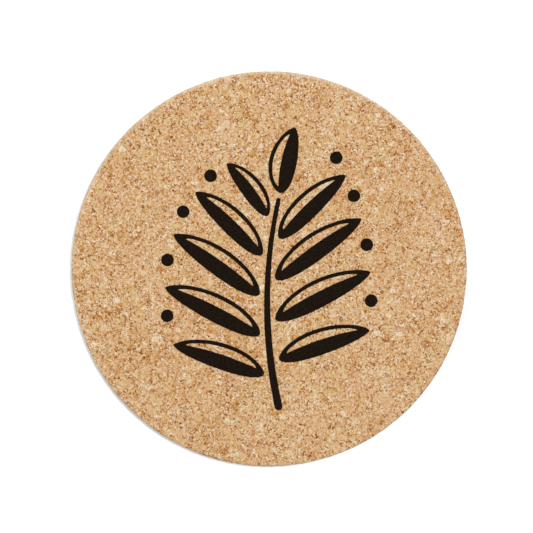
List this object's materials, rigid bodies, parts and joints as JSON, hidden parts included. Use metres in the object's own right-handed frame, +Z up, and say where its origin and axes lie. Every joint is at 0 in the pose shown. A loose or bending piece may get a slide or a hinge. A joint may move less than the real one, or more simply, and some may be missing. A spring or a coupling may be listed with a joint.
{
  "type": "cork coaster",
  "caption": "Thin round coaster of pressed cork granules with softly rounded edges and a dark leaf sprig printed on its top face, for resting a glass or mug on.",
  "frame": {"origin": "centre of the underside, on the surface that the coaster rests on", "axes": "+Z up through the disc, square to both faces; +Y the way the printed sprig grows"},
  "size_m": [0.1, 0.1, 0.005],
  "materials": {
    "cork": "matte pressed cork granules",
    "ink": "matte black print ink"
  },
  "bodies": {
    "root": {"cork_disc": "cork", "ink_berry_left_1": "ink", "ink_berry_left_2": "ink", "ink_berry_left_3": "ink", "ink_berry_left_4": "ink", "ink_berry_right_1": "ink", "ink_berry_right_2": "ink", "ink_berry_right_3": "ink", "ink_berry_right_4": "ink", "ink_leaf_left_1": "ink", "ink_leaf_left_2": "ink", "ink_leaf_left_3": "ink", "ink_leaf_left_4": "ink", "ink_leaf_left_5": "ink", "ink_leaf_right_1": "ink", "ink_leaf_right_2": "ink", "ink_leaf_right_3": "ink", "ink_leaf_right_4": "ink", "ink_leaf_tip": "ink", "ink_stem": "ink"}
  },
  "joints": []
}
